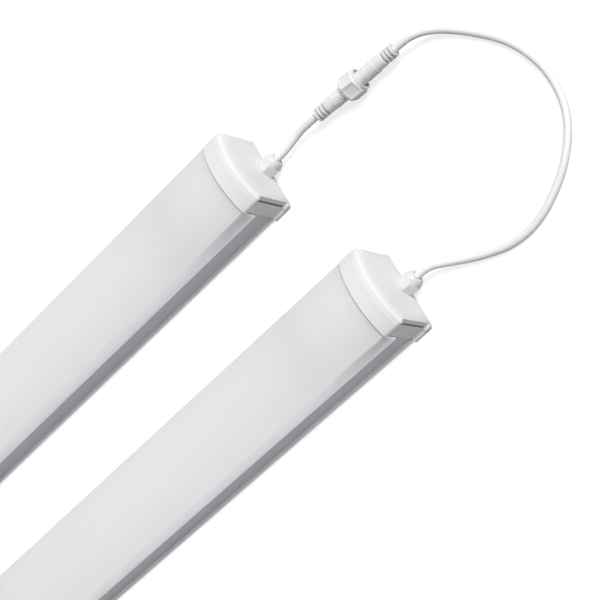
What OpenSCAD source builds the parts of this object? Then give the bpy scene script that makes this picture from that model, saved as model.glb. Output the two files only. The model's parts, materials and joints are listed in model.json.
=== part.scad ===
// Two vapor tight LED batten fixtures, linked end to end by a cord with a screw-lock connector.
// Each fixture lies on its wall face with the diffuser up. Its own frame has X along the
// fixture towards the linked end, Y across it and Z up from the wall face of its end caps.

/* [Fixture] */
// Length of one fixture over its two end covers
fixture_l = 600; // [400:10:1500]
// Width over the end caps
body_w = 80; // [74:1:100]
// Height of the flat sides, from the wall face up to the shoulder
side_h = 49; // [46:1:60]
// Rise of the crown above the shoulder
crown_h = 13.5; // [9:0.5:20]
// Radius of the shoulder where the side turns into the crown
shoulder_r = 4; // [3:0.5:6]

/* [Diffuser] */
// Wall of the diffuser
diffuser_t = 1.8; // [1.4:0.1:2.4]
// How far the end caps stand proud of the diffuser
cap_step = 0.8; // [0.4:0.1:1.4]
// Height of the lower edge of the diffuser's skirt
skirt_z = 30; // [29:0.5:33]
// Length of the inward foot that hooks the skirt into the profile
hook_l = 2; // [1.6:0.1:2.4]
// Thickness of that foot
hook_t = 1.1; // [0.9:0.1:1.5]

/* [Base profile] */
// Gap between the wall and the back of the profile, left for the mounting clips
base_lift = 2; // [1:0.5:3]
// Wall of the profile
profile_t = 1.5; // [1.3:0.1:2]
// Depth of the clip groove along each side
groove_d = 3; // [2.4:0.2:4]
// Thickness of the lip below the clip groove
lip_t = 2.5; // [2.2:0.1:3.5]
// Height of the underside of the shelf that carries the LED board
shelf_z = 25; // [24.5:0.5:26.5]
// Outer radius of the four screw ports
port_r = 3.4; // [3:0.1:3.8]
// Bore radius of the screw ports
port_bore_r = 1.5; // [1.3:0.1:1.7]

/* [Light engine] */
// Thickness of the LED board
board_t = 1.6; // [1:0.2:2]
// Spacing of the LEDs along a row
led_pitch = 30; // [20:5:60]
// Distance between the two rows of LEDs
row_gap = 32; // [16:2:44]
// Length of the driver case
driver_l = 200; // [120:10:240]
// Width of the driver case
driver_w = 41; // [41:1:44]
// Height of the driver case
driver_h = 19; // [14:1:19]

/* [End caps] */
// Length of the sleeve between the gasket and the end cover
sleeve_l = 14; // [12:0.5:22]
// Wall of the sleeve
cap_t = 2.2; // [1.8:0.1:2.6]
// Thickness of the web that closes the sleeve
web_t = 2.5; // [2:0.1:3]
// Depth of the recess in the sleeve's sides
recess_d = 2.8; // [2.2:0.1:3]
// Thickness of the foot below the recess
foot_t = 3.5; // [3:0.1:4.5]
// Thickness of the end cover from its rim to the middle of its face
cover_t = 8; // [7:0.5:10]
// Wall of the cover's face
face_t = 3; // [2.5:0.1:3.5]
// Width of the slot between sleeve and cover along the sides
slot_w = 2; // [1.4:0.1:2.6]
// Depth of that slot into the wall of the cover
slot_d = 2; // [1:0.1:3]
// Length of the skirt that the cover pushes into the sleeve
skirt_l = 6; // [4:0.5:8]
// Thickness of the gasket between sleeve and profile
gasket_t = 1; // [0.8:0.1:1.5]

/* [Cable gland] */
// Diameter of the cord
cord_d = 7; // [6:0.1:8]
// Width across the flats of the gland nut
gland_af = 18; // [17:0.5:20]
// Length of the hexagon of the gland nut
gland_hex_l = 9; // [8:0.5:11]
// Length of the domed nose of the gland nut
gland_dome_l = 5.7; // [5:0.1:7]
// Radius of the gland's thread
gland_thread_r = 6; // [5.8:0.1:6.4]
// Height of the gland's axis above the wall face
gland_z = 11; // [11:0.5:13]

/* [Connector] */
// Width across the flats of the coupling nut
nut_af = 22; // [21:0.5:22.5]
// Length of the coupling nut
nut_l = 18.2; // [17:0.2:20]
// Radius of the connector's bodies where they meet the nut
grip_r = 7.2; // [6.8:0.1:7.4]
// Radius of the bodies at their cord ends
tail_r = 6.6; // [6:0.1:6.8]
// Radius of the flange and thread inside the nut
thread_r = 9; // [8.2:0.1:9.2]
// Length of the plug from its cord end to the nut
plug_l = 34.4; // [33:0.2:42]
// Length of the socket from the nut to its cord end
socket_l = 39.6; // [38:0.2:46]
// Turn of the coupling nut from a corner straight up
nut_turn = 16; // [0:1:59]

/* [Layout] */
// Distance between the centre lines of the two fixtures
row_pitch = 178; // [140:2:240]
// How far the right fixture lies ahead of the left one
stagger = 55; // [0:5:100]
// Place of the connector's plug end along X
connector_x = 343.5; // [336:0.5:346]
// Place of the connector's plug end along Y
connector_y = 90.5; // [88:0.5:93]
// Height of the connector's axis above the floor
connector_z = 13; // [13:0.5:15]
// Turn of the connector's axis from X
connector_turn = -4; // [-10:0.5:0]

/* [Hidden] */
$fn = 64;
SIDES = ["left", "right"];
FIXTURE_PIECES = [
    "base_profile", "diffuser", "led_board", "leds", "driver", "driver_leads", "through_wires",
    "link_terminal", "far_terminal", "link_gasket", "far_gasket", "link_sleeve", "far_sleeve",
    "link_cover", "far_cover", "cap_screws", "link_gland_body", "far_gland_body",
    "link_gland_seal", "far_gland_seal", "link_gland_nut", "far_gland_nut", "link_tail"];
LINK_PIECES = [
    "left_cord", "right_cord", "plug_body", "plug_pins", "connector_seal", "coupling_nut",
    "socket_body", "socket_contacts"];

// Clearances
run_fit = 0.08;
fit = 0.15;
slide_fit = 0.25;
turn_gap = 0.3;
overcut = 1;

// Stations along a fixture, measured from its middle
cover_x = fixture_l / 2 - cover_t;
joint_x = cover_x - sleeve_l;
profile_x = joint_x - gasket_t;
tongue_l = 8;
face_x = cover_x + cover_t - face_t;
gland_x = fixture_l / 2;

// Heights and half widths of the section
crown_r = (pow(body_w / 2, 2) + pow(crown_h, 2)) / (2 * crown_h);
crown_z = side_h + crown_h - crown_r;
lip_y = body_w / 2 - cap_step;
wall_y = lip_y - groove_d;
head_t = profile_t + 1.4;
wall_top = skirt_z + 4.6;
hook_z = skirt_z + 1.3;
shelf_top = shelf_z + profile_t;
board_top = shelf_top + board_t;
board_y = wall_y - profile_t - slide_fit;
rail_t = 1.2;
rail_l = 1.8;
foot_w = driver_w / 2 + 1.5;
driver_foot_t = 1.5;
guide_t = 1.2;
port_y = wall_y - profile_t - port_r + 0.4;
port_low = base_lift + profile_t + port_r - 0.4;
port_high = shelf_z - port_r + 0.4;
base_floor = base_lift + profile_t;
recess_top = side_h - 3;
sleeve_y = body_w / 2 - recess_d;
hollow_y = sleeve_y - cap_t;
cover_recess_d = recess_d + 0.6;
sleeve_floor = foot_t;
skirt_t = 1.8;
slot_y = hollow_y - slide_fit - slot_d;
cover_foot = foot_t + 2;

// Arc from angle a0 to a1 about the centre c, in n steps, without its first point
function arc_points(c, r, a0, a1, n) =
    [for (i = [1:n]) let (a = a0 + (a1 - a0) * i / n) c + r * [cos(a), sin(a)]];

// The D outline drawn in by inset, closed off at the height z0
function d_points(inset, z0, shift = 0) =
    let (r = crown_r - inset,
         hw = body_w / 2 - inset,
         sr = max(shoulder_r - inset, 1),
         sy = hw - sr,
         sz = crown_z + sqrt(pow(r - sr, 2) - pow(sy, 2)),
         a = atan2(sz - crown_z, sy))
    [for (p = concat(
        [[hw, z0], [hw, sz]],
        arc_points([sy, sz], sr, 0, a, 6),
        arc_points([0, crown_z], r, a, 180 - a, 32),
        arc_points([-sy, sz], sr, 180 - a, 180, 6),
        [[-hw, z0]])) p - [0, shift]];

module d_outline(inset, z0) {
    intersection() {
        polygon(d_points(inset, 0));
        translate([-body_w, z0]) square(2 * body_w);
    }
}

// Extrudes a section drawn in Y and Z from x0 to x1
module along_x(x0, x1) {
    translate([x0, 0, 0]) rotate([90, 0, 90]) linear_extrude(x1 - x0) children();
}

// Revolves a profile drawn as radius and X about the gland's axis
module about_gland() {
    translate([gland_x, 0, gland_z]) rotate([0, 90, 0]) rotate_extrude() children();
}

// A rectangle on both sides of the middle, from y0 to y1 and z0 to z1
module both_sides(y0, y1, z0, z1) {
    for (s = [-1, 1])
        translate([s > 0 ? y0 : -y1, z0]) square([y1 - y0, z1 - z0]);
}

// A rectangle across the middle with the half width y, from z0 to z1
module across(y, z0, z1) {
    translate([-y, z0]) square([2 * y, z1 - z0]);
}

// Joins rings of equally many points into one closed skin
module skin(rings) {
    n = len(rings[0]);
    last = len(rings) - 1;
    polyhedron(
        points = [for (ring = rings) for (p = ring) p],
        faces = concat(
            [[for (k = [0:n - 1]) k]],
            [for (i = [0:last - 1]) for (k = [0:n - 1])
                let (j = (k + 1) % n) [i * n + k, (i + 1) * n + j, i * n + j]],
            [for (i = [0:last - 1]) for (k = [0:n - 1])
                let (j = (k + 1) % n) [i * n + k, (i + 1) * n + k, (i + 1) * n + j]],
            [[for (k = [n - 1:-1:0]) last * n + k]]));
}

function unit(v) = v / norm(v);
function heading(route, i) =
    let (last = len(route) - 1) unit(route[min(i + 1, last)] - route[max(i - 1, 0)]);
function tube_ring(c, dir, r, sides, up) =
    let (across = unit(cross(up, dir)), over = cross(dir, across))
    [for (k = [0:sides - 1]) c + r * (cos(360 * k / sides) * across + sin(360 * k / sides) * over)];

// A tube swept along a route, with one ring at each of its points
module tube(route, d, sides = 10, up = [0, 0, 1]) {
    skin([for (i = [0:len(route) - 1]) tube_ring(route[i], heading(route, i), d / 2, sides, up)]);
}

// Base profile: an aluminium extrusion with a clip groove along each side
module base_profile() {
    color("silver") difference() {
        along_x(-profile_x, profile_x) difference() {
            union() {
                translate([-lip_y, base_lift]) square([2 * lip_y, profile_t]);
                both_sides(wall_y - profile_t, lip_y, base_lift, base_lift + lip_t);
                both_sides(wall_y - profile_t, wall_y, base_lift, wall_top);
                both_sides(wall_y - head_t, wall_y, skirt_z, wall_top);
                translate([-wall_y, shelf_z]) square([2 * wall_y, profile_t]);
                both_sides(wall_y - profile_t - rail_l, wall_y,
                           board_top + fit, board_top + fit + rail_t);
                both_sides(foot_w + slide_fit, foot_w + slide_fit + guide_t,
                           base_lift, base_floor + driver_foot_t + fit + rail_t);
                both_sides(driver_w / 2 + slide_fit, foot_w + slide_fit + guide_t,
                           base_floor + driver_foot_t + fit, base_floor + driver_foot_t + fit + rail_t);
                for (s = [-1, 1], z = [port_low, port_high]) translate([s * port_y, z]) circle(port_r);
            }
            both_sides(lip_y - diffuser_t - hook_l - fit, wall_y + overcut,
                       hook_z - fit, hook_z + hook_t + fit);
            for (s = [-1, 1], z = [port_low, port_high])
                translate([s * port_y, z]) circle(port_bore_r);
        }
        translate([-driver_l / 2 - lead_out, 0, shelf_z - overcut])
            cylinder(r = lead_hole_r, h = profile_t + 2 * overcut);
    }
}

// Diffuser: an opal D-shaped cover whose skirt hooks into the profile
module diffuser() {
    color("white") along_x(-profile_x, profile_x) {
        difference() {
            d_outline(cap_step, skirt_z);
            d_outline(cap_step + diffuser_t, skirt_z - overcut);
        }
        both_sides(lip_y - diffuser_t - hook_l, lip_y - diffuser_t / 2, hook_z, hook_z + hook_t);
    }
}

// LED board, held under the rails above the shelf
lead_out = 12;
lead_hole_r = 4;
board_x = profile_x - tongue_l - 1;
module led_board() {
    color("whitesmoke") difference() {
        translate([-board_x, -board_y, shelf_top]) cube([2 * board_x, 2 * board_y, board_t]);
        translate([-driver_l / 2 - lead_out, 0, shelf_top - overcut])
            cylinder(r = lead_hole_r - 0.5, h = board_t + 2 * overcut);
    }
}

// LEDs: two rows of small packages on the board
led_size = [3.5, 2.8, 0.8];
module leds() {
    count = floor((2 * board_x - led_pitch) / led_pitch);
    color("khaki") for (i = [0:count - 1], s = [-1, 1])
        translate([(i - (count - 1) / 2) * led_pitch - led_size[0] / 2,
                   s * row_gap / 2 - led_size[1] / 2, board_top])
            cube(led_size);
}

// Driver: a closed case whose foot slides between the guides of the profile
module driver() {
    color("gainsboro") along_x(-driver_l / 2, driver_l / 2) {
        across(driver_w / 2, base_floor, base_floor + driver_h);
        across(foot_w, base_floor, base_floor + driver_foot_t);
    }
}

// Wires: each conductor is a tube along its route
wire_d = 2.2;
wire_z = base_floor + 7.2;
lead_z = base_floor + 8.2;
block_l = 22;
block_w = 40;
block_h = 14;
block_x = profile_x - 12 - block_l;
pole_pitch = 8;
wire_in = 6;
lead_gap = 0.1;

// Three conductors from end to end, lying side by side along the lower screw port
wire_seat = port_r + wire_d / 2 + 0.1;
module through_wires() {
    color("dimgray") for (k = [0, 1, 2]) {
        pole_y = k * pole_pitch;
        side_step = wire_seat - port_r + 0.6 - (2 - k) * (wire_d + 0.1);
        run_z = port_low + sqrt(pow(wire_seat, 2) - pow(side_step, 2));
        ends = [[block_x + wire_in, pole_y, wire_z], [block_x - 9, pole_y, wire_z],
                [block_x - 34, port_y + side_step, run_z]];
        tube(concat([for (p = ends) [-p[0], p[1], p[2]]], [for (i = [2, 1, 0]) ends[i]]), wire_d, 6);
    }
}
module driver_leads() {
    out_x = -driver_l / 2;
    color("firebrick") {
        for (k = [-2, -1])
            tube([[block_x + wire_in, k * pole_pitch, wire_z], [block_x - 9, k * pole_pitch, wire_z],
                  [driver_l / 2 + 12, (k + 1) * pole_pitch, lead_z],
                  [driver_l / 2 + lead_gap, (k + 1) * pole_pitch, lead_z]], wire_d, 6);
        for (s = [-1, 1])
            tube([[out_x - lead_gap, s * 2, lead_z], [out_x - 6, s * 2, lead_z + 0.5],
                  [out_x - lead_out + 1, s * 2, lead_z + 4], [out_x - lead_out, s * 2, lead_z + 9],
                  [out_x - lead_out, s * 2, board_top - 1.5], [out_x - lead_out - 0.8, s * 2, board_top + 0.8],
                  [out_x - lead_out - 3, s * 2, board_top + 1.4], [out_x - lead_out - 7, s * 2, board_top + 1.2]],
                 wire_d, 6, [0, 1, 0]);
    }
}

// Terminal block with clamp screws over its poles
module terminal() {
    color("ivory") difference() {
        translate([block_x, -block_w / 2, base_floor]) cube([block_l, block_w, block_h]);
        for (k = [-2:2]) translate([0, k * pole_pitch, 0]) {
            translate([block_x - overcut, 0, wire_z]) rotate([0, 90, 0])
                cylinder(r = 1.6, h = wire_in + 1.5 + overcut);
            translate([block_x + block_l - wire_in - 1.5, 0, wire_z]) rotate([0, 90, 0])
                cylinder(r = 1.6, h = wire_in + 1.5 + overcut);
            for (x = [5, block_l - 5]) translate([block_x + x, 0, base_floor + block_h - 3.5])
                cylinder(r = 1.9, h = 4.5);
        }
    }
}

// Gasket: follows the end faces of the profile and of the diffuser
tongue_z = recess_top + 1.8;
gasket_y = sleeve_y - turn_gap;
module gasket() {
    color("dimgray") along_x(profile_x, joint_x) difference() {
        union() {
            d_outline(cap_step + turn_gap, recess_top + turn_gap);
            across(gasket_y, skirt_z + turn_gap, recess_top + 1);
            across(wall_y - turn_gap, base_lift + turn_gap, skirt_z + 1);
        }
        d_outline(cap_step + diffuser_t + fit, tongue_z - turn_gap);
        across(gasket_y - 2.6, wall_top, tongue_z);
        across(wall_y - head_t, base_lift + 2.6, wall_top + 1);
    }
}

// Outline of the cap with its recessed sides
module cap_outline(depth) {
    difference() {
        d_outline(0, 0);
        both_sides(body_w / 2 - depth, body_w / 2 + overcut, foot_t, recess_top);
    }
}

// Hollow of the sleeve, drawn in by inset
module sleeve_hollow(inset) {
    intersection() {
        d_outline(cap_t + inset, sleeve_floor + inset);
        union() {
            translate([-hollow_y + inset, 0]) square([2 * (hollow_y - inset), body_w]);
            translate([-body_w, recess_top + cap_t + inset]) square(2 * body_w);
        }
    }
}

// Sleeve: the shell of the end cap, screwed to the profile through its web
module sleeve() {
    color("white") {
        difference() {
            along_x(joint_x, cover_x) cap_outline(recess_d);
            along_x(joint_x + web_t, cover_x + overcut) sleeve_hollow(0);
            for (s = [-1, 1], z = [port_low, port_high])
                translate([joint_x - overcut, s * port_y, z]) rotate([0, 90, 0])
                    cylinder(r = port_bore_r + 0.3, h = web_t + 2 * overcut);
            translate([joint_x - overcut, -13, sleeve_floor + 1]) cube([web_t + 2 * overcut, 26, 14]);
        }
        along_x(joint_x - tongue_l, joint_x + overcut) difference() {
            d_outline(cap_step + diffuser_t + turn_gap, tongue_z);
            d_outline(cap_step + diffuser_t + turn_gap + 1.5, 0);
        }
    }
}

// End cover: a domed face with a rounded rim, snapped into the sleeve
cover_slices = [[0, 0], [0.575, 0.35], [0.75, 1.5], [0.86, 3.4], [0.95, 7], [1, 12]];
cover_tilt = 0.4;
module cover() {
    color("white") difference() {
        union() {
            skin([for (s = cover_slices)
                [for (p = d_points(s[1], s[1], cover_tilt * s[1])) [cover_x + s[0] * cover_t, p[0], p[1]]]]);
            along_x(cover_x - skirt_l, cover_x + overcut) sleeve_hollow(slide_fit);
        }
        along_x(cover_x - skirt_l - overcut, face_x) intersection() {
            sleeve_hollow(slide_fit + skirt_t);
            across(slot_y - skirt_t, 0, body_w);
        }
        translate([cover_x - skirt_l - overcut, 0, gland_z]) rotate([0, 90, 0])
            cylinder(r = flange_r + slide_fit, h = face_x - cover_x + skirt_l + overcut);
        for (s = [-1, 1]) {
            translate([cover_x, s > 0 ? body_w / 2 - cover_recess_d : -body_w, cover_foot])
                cube([cover_t + overcut, body_w / 2 + cover_recess_d, recess_top - cover_foot]);
            translate([cover_x, s > 0 ? slot_y : -body_w, cover_foot])
                cube([slot_w, body_w - slot_y, recess_top - cover_foot]);
        }
        translate([cover_x, 0, gland_z]) rotate([0, 90, 0])
            cylinder(r = gland_thread_r + 0.2, h = cover_t + overcut);
    }
}

// Screws: pan heads on the web, shanks in the ports
screw_l = 14;
module cap_screws() {
    color("silver") for (e = [-1, 1], s = [-1, 1], z = [port_low, port_high])
        translate([e * (joint_x + web_t), s * port_y, z]) rotate([0, e * 90, 0]) {
            cylinder(r = 2.6, h = 2.2);
            translate([0, 0, -screw_l]) cylinder(r = port_bore_r - 0.05, h = screw_l + 0.5);
        }
}

// Gland body: a threaded tube with a flange behind the cover's face
stub_l = gland_hex_l - 1;
flange_r = gland_thread_r + 2.5;
pocket_r = gland_thread_r - 1;
cord_bore_r = cord_d / 2 + turn_gap;
module gland_body() {
    color("white") about_gland() polygon([
        [cord_bore_r, -face_t - 2], [flange_r, -face_t - 2],
        [flange_r, -face_t], [gland_thread_r, -face_t],
        [gland_thread_r, stub_l], [pocket_r, stub_l], [pocket_r, -1], [cord_bore_r, -1]]);
}

// Gland seal: a rubber sleeve squeezed round the cord
seal_out = 0.5;
module gland_seal() {
    color("gray") about_gland() polygon([
        [cord_d / 2 + 0.1, -0.9], [pocket_r - 0.1, -0.9],
        [pocket_r - 0.1, stub_l + seal_out], [cord_d / 2 + 0.1, stub_l + seal_out]]);
}

// Gland nut: a hexagon with a domed nose
gland_tip = turn_gap + gland_hex_l + gland_dome_l;
module gland_nut() {
    corner_r = gland_af / sqrt(3);
    hex_end = turn_gap + gland_hex_l;
    nose_r = cord_bore_r + 1.6;
    dome_r = gland_af / 2 - 0.4;
    dome = [for (i = [0:8]) let (a = 90 * i / 8)
        [nose_r + (dome_r - nose_r) * cos(a), hex_end + gland_dome_l * sin(a)]];
    color("white") difference() {
        intersection() {
            translate([gland_x, 0, gland_z]) rotate([0, 90, 0]) rotate([0, 0, 90])
                linear_extrude(gland_tip) circle(corner_r, $fn = 6);
            about_gland() polygon(concat(
                [[0, turn_gap], [corner_r - 0.9, turn_gap], [corner_r, turn_gap + 0.8],
                 [corner_r, hex_end - 1.2]], dome, [[0, gland_tip]]));
        }
        about_gland() polygon([
            [0, 0], [gland_thread_r + run_fit, 0], [gland_thread_r + run_fit, stub_l + 0.8],
            [cord_bore_r, stub_l + 2.6], [cord_bore_r, gland_tip + overcut], [0, gland_tip + overcut]]);
    }
}

// Tail of the link cord inside the fixture: sheath in the gland, cores to the terminal block
sheath_in = 14;
module link_tail() {
    sheath_x = gland_x - sheath_in;
    core_x = block_x + block_l - wire_in;
    color("white") translate([sheath_x, 0, gland_z]) rotate([0, 90, 0])
        cylinder(r = cord_d / 2, h = sheath_in + gland_tip);
    color("peru") for (k = [-1, 0, 1]) {
        core_y = k * 1.3;
        core_z = gland_z + (k == 0 ? 1.4 : -0.9);
        tube([[sheath_x + 2, core_y, core_z], [sheath_x - 1, core_y, core_z],
              [core_x + wire_in + 3, k * pole_pitch * 0.9, wire_z],
              [core_x + wire_in, k * pole_pitch, wire_z], [core_x, k * pole_pitch, wire_z]], wire_d, 6);
    }
}

// Turns a cap piece to the far end of the fixture
module at_far_end() {
    mirror([1, 0, 0]) children();
}

// Connector: its pieces are drawn as radius and distance from the plug's cord end
nut_end = plug_l + nut_l;
connector_l = nut_end + socket_l;
module on_connector() {
    translate([connector_x, connector_y, connector_z]) rotate([0, 0, connector_turn])
        rotate([0, 90, 0]) children();
}

// Boot with three discs, then the body growing to the grip ribs, as a profile from the cord end
disc_w = 2;
disc_pitch = 3.9;
boot_l = 2 * disc_pitch + disc_w + 1.8;
rib_pitch = 2.2;
rib_n = 6;
core_r = cord_d / 2 + 0.9;
function shell_profile(body_l, plain_l = 0.6) =
    let (ribs_at = body_l - rib_n * rib_pitch - plain_l)
    concat(
        [[0, 0]],
        [for (i = [0:2], p = [[tail_r, 0], [tail_r, disc_w], [core_r, disc_w], [core_r, disc_pitch]])
            if (i < 2 || p[1] < disc_pitch) [p[0], p[1] + i * disc_pitch]],
        [[core_r, boot_l], [tail_r - 0.4, boot_l], [tail_r, boot_l + 1.5], [grip_r - 0.4, ribs_at]],
        [for (i = [0:rib_n - 1], p = [[grip_r, 0], [grip_r, 1.5], [grip_r - 0.4, 1.5], [grip_r - 0.4, rib_pitch]])
            [p[0], p[1] + ribs_at + i * rib_pitch]],
        [[grip_r - 0.4, body_l], [0, body_l]]);

// Plug body: shell, neck and flange held by the nut, and a nose round the pins
collar_t = 2.2;
neck_r = grip_r - 0.8;
flange_at = plug_l + collar_t + 0.2;
plug_flange_t = 2;
nose_l = 10.8;
nose_r = 5.2;
pin_floor = flange_at + plug_flange_t + 2.8;
pin_ring_r = 2.1;
pin_r = 0.9;
module plug_body() {
    color("white") on_connector() difference() {
        union() {
            rotate_extrude() polygon(shell_profile(plug_l - turn_gap));
            cylinder(r = neck_r, h = flange_at + 0.5);
            translate([0, 0, flange_at]) cylinder(r = thread_r, h = plug_flange_t);
            cylinder(r = nose_r, h = flange_at + plug_flange_t + nose_l);
        }
        translate([0, 0, pin_floor]) cylinder(r = nose_r - 1, h = nose_l);
    }
}
module plug_pins() {
    color("gold") on_connector() for (k = [0:2]) rotate([0, 0, 120 * k])
        translate([pin_ring_r, 0, pin_floor]) cylinder(r = pin_r, h = 7);
}

// Seal ring between the plug's flange and the socket's front
seal_t = 1.2;
seal_at = flange_at + plug_flange_t;
module connector_seal() {
    color("gray") on_connector() translate([0, 0, seal_at + 0.05]) difference() {
        cylinder(r = thread_r - 0.4, h = seal_t - 0.1);
        translate([0, 0, -overcut]) cylinder(r = nose_r + 0.1, h = seal_t + 2 * overcut);
    }
}

// Socket body: threaded front, insulator with the contacts, then the same shell as the plug
socket_at = seal_at + seal_t;
thread_end = nut_end - 2.5;
core_end = seal_at + nose_l + 0.5;
sleeve_r = 1.35;
module socket_body() {
    color("white") on_connector() difference() {
        union() {
            translate([0, 0, connector_l]) mirror([0, 0, 1]) rotate_extrude()
                polygon(shell_profile(socket_l - turn_gap, 4));
            translate([0, 0, socket_at]) cylinder(r = thread_r, h = thread_end - socket_at);
            translate([0, 0, thread_end - overcut])
                cylinder(r = grip_r - 0.4, h = nut_end - thread_end + 2 * overcut);
        }
        difference() {
            translate([0, 0, socket_at - overcut])
                cylinder(r = nose_r + slide_fit, h = core_end - socket_at + overcut);
            translate([0, 0, pin_floor + 0.5]) cylinder(r = nose_r - 1.3, h = core_end - pin_floor);
        }
        for (k = [0:2]) rotate([0, 0, 120 * k]) translate([pin_ring_r, 0, pin_floor])
            cylinder(r = sleeve_r + 0.05, h = core_end - pin_floor);
    }
}
module socket_contacts() {
    color("gold") on_connector() for (k = [0:2]) rotate([0, 0, 120 * k])
        translate([pin_ring_r, 0, pin_floor + 0.7]) difference() {
            cylinder(r = sleeve_r, h = core_end - pin_floor - 0.7);
            translate([0, 0, -overcut]) cylinder(r = pin_r + 0.05, h = 8);
        }
}

// Coupling nut: turns on the plug's neck and draws the socket in by its thread
module coupling_nut() {
    corner_r = nut_af / sqrt(3);
    rim_r = nut_af / 2 - 0.3;
    color("white") on_connector() rotate([0, 0, nut_turn]) difference() {
        union() {
            translate([0, 0, plug_l]) cylinder(r = rim_r, h = nut_l);
            intersection() {
                translate([0, 0, plug_l]) linear_extrude(nut_l) circle(corner_r, $fn = 6);
                rotate_extrude() polygon([
                    [0, plug_l + 0.6], [rim_r - 0.4, plug_l + 0.6], [corner_r, plug_l + 2.2],
                    [corner_r, nut_end - 4.4], [rim_r - 0.4, nut_end - 2.8], [0, nut_end - 2.8]]);
            }
        }
        translate([0, 0, plug_l + collar_t]) cylinder(r = thread_r + turn_gap, h = nut_l);
        translate([0, 0, plug_l - overcut]) cylinder(r = neck_r + run_fit, h = collar_t + 2 * overcut);
    }
}

// Cord routes: straight out of the gland and into the connector, then chosen points between
floor_z = cord_d / 2;
plug_dir = [cos(connector_turn), sin(connector_turn), 0];
plug_end = [connector_x, connector_y, connector_z];
socket_end = plug_end + connector_l * plug_dir;
left_exit = [gland_x + gland_tip - stagger / 2, row_pitch / 2, gland_z];
right_exit = [gland_x + gland_tip + stagger / 2, -row_pitch / 2, gland_z];
straight = [cord_d, 0, 0];
left_points = [[303, 90.2, 10.6], [312, 92, 10.2], [322, 92.8, 10.8]];
right_points = [
    [359, -91, 10], [372, -97.5, 7.5], [387, -105.5, 5], [403, -113, 3.8], [421, -119.5, 3.5],
    [440, -121.5, 3.5], [458, -118.5, 3.5], [475, -111.5, 3.5], [491, -102, 3.5], [505, -90, 3.5],
    [516.5, -76, 3.5], [524.5, -60, 3.5], [528.5, -42.5, 3.5], [529, -24, 3.5], [526, -6, 3.5],
    [520, 12, 3.5], [511, 29, 3.5], [500, 44.5, 3.5], [488.5, 58.5, 4], [476.5, 70.5, 6],
    [464.5, 78.5, 9.2], [453, 82.3, 12.2]];
module left_cord() {
    color("white") tube(concat([left_exit, left_exit + straight], left_points,
                               [plug_end - cord_d * plug_dir, plug_end]), cord_d);
}
module right_cord() {
    color("white") tube(concat([right_exit, right_exit + straight], right_points,
                               [socket_end + cord_d * plug_dir, socket_end]), cord_d);
}

// Puts a piece of one fixture where that fixture lies
module lay(side) {
    translate(side == "left" ? [-stagger / 2, row_pitch / 2, 0] : [stagger / 2, -row_pitch / 2, 0])
        children();
}

for (side = SIDES) lay(side) {
    base_profile();
    diffuser();
    led_board();
    leds();
    driver();
    driver_leads();
    through_wires();
    terminal();
    at_far_end() terminal();
    gasket();
    at_far_end() gasket();
    sleeve();
    at_far_end() sleeve();
    cover();
    at_far_end() cover();
    cap_screws();
    gland_body();
    at_far_end() gland_body();
    gland_seal();
    at_far_end() gland_seal();
    gland_nut();
    at_far_end() gland_nut();
    link_tail();
}
left_cord();
right_cord();
plug_body();
plug_pins();
connector_seal();
coupling_nut();
socket_body();
socket_contacts();
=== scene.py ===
# %% [markdown]
# # Two linked vapor tight battens
# The photo shows two sealed LED battens lying face up, joined at one end by a white cord with a
# screw-lock connector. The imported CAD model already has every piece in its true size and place,
# so this lesson only dresses it: it rounds the moulded edges, sweeps the smooth forms again,
# adds the repeated small parts and gives each piece the finish of the real one.
# The first step loads the model. Blender counts in metres, so lengths in millimetres are
# multiplied by `MM`. +X runs along the battens and +Z points away from the wall.
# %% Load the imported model
import json
import math
import bmesh
import bpy
from mathutils import Matrix, Vector


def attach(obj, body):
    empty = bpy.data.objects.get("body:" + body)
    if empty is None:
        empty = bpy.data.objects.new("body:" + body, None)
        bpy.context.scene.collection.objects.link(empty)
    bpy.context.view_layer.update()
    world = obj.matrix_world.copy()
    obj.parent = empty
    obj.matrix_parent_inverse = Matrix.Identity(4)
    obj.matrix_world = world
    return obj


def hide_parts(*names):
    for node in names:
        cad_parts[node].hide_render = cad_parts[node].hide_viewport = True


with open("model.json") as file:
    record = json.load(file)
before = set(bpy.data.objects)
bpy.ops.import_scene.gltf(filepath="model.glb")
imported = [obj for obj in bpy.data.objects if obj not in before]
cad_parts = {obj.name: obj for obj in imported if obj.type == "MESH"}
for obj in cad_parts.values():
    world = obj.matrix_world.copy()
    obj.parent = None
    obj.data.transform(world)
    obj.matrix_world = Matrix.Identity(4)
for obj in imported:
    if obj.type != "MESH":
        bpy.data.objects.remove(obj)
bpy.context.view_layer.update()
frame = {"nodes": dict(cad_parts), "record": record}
MM = 0.001


# %% [markdown]
# The photo was taken with a long lens from above the linked ends, turned on its side. The place
# and the three directions of the camera were worked out from the edges of both end caps, so they
# are written down as they came out. The focal length came out in pixels of the photo, and the
# sensor's width turns it into millimetres. A camera in Blender looks along its own -Z.
# %% Camera
CAMERA_PLACE = Vector((0.8522, -0.6671, 1.2016))
CAMERA_RIGHT = Vector((0.669305, -0.453477, -0.588549))
CAMERA_UP = Vector((0.616235, 0.781345, 0.098764))
CAMERA_BACK = CAMERA_RIGHT.cross(CAMERA_UP)
FOCAL_PIXELS, PHOTO_PIXELS, SENSOR_WIDTH = 1707.44, 600, 36

camera_data = bpy.data.cameras.new("camera")
camera_data.sensor_width = SENSOR_WIDTH
camera_data.lens = FOCAL_PIXELS / PHOTO_PIXELS * SENSOR_WIDTH
camera = bpy.data.objects.new("camera", camera_data)
bpy.context.collection.objects.link(camera)
camera_turn = Matrix((CAMERA_RIGHT, CAMERA_UP, CAMERA_BACK)).transposed()
camera.matrix_world = Matrix.LocRotScale(CAMERA_PLACE, camera_turn.to_quaternion(), None)
bpy.context.scene.camera = camera
print("lens:", round(camera_data.lens, 1), "mm")

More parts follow.
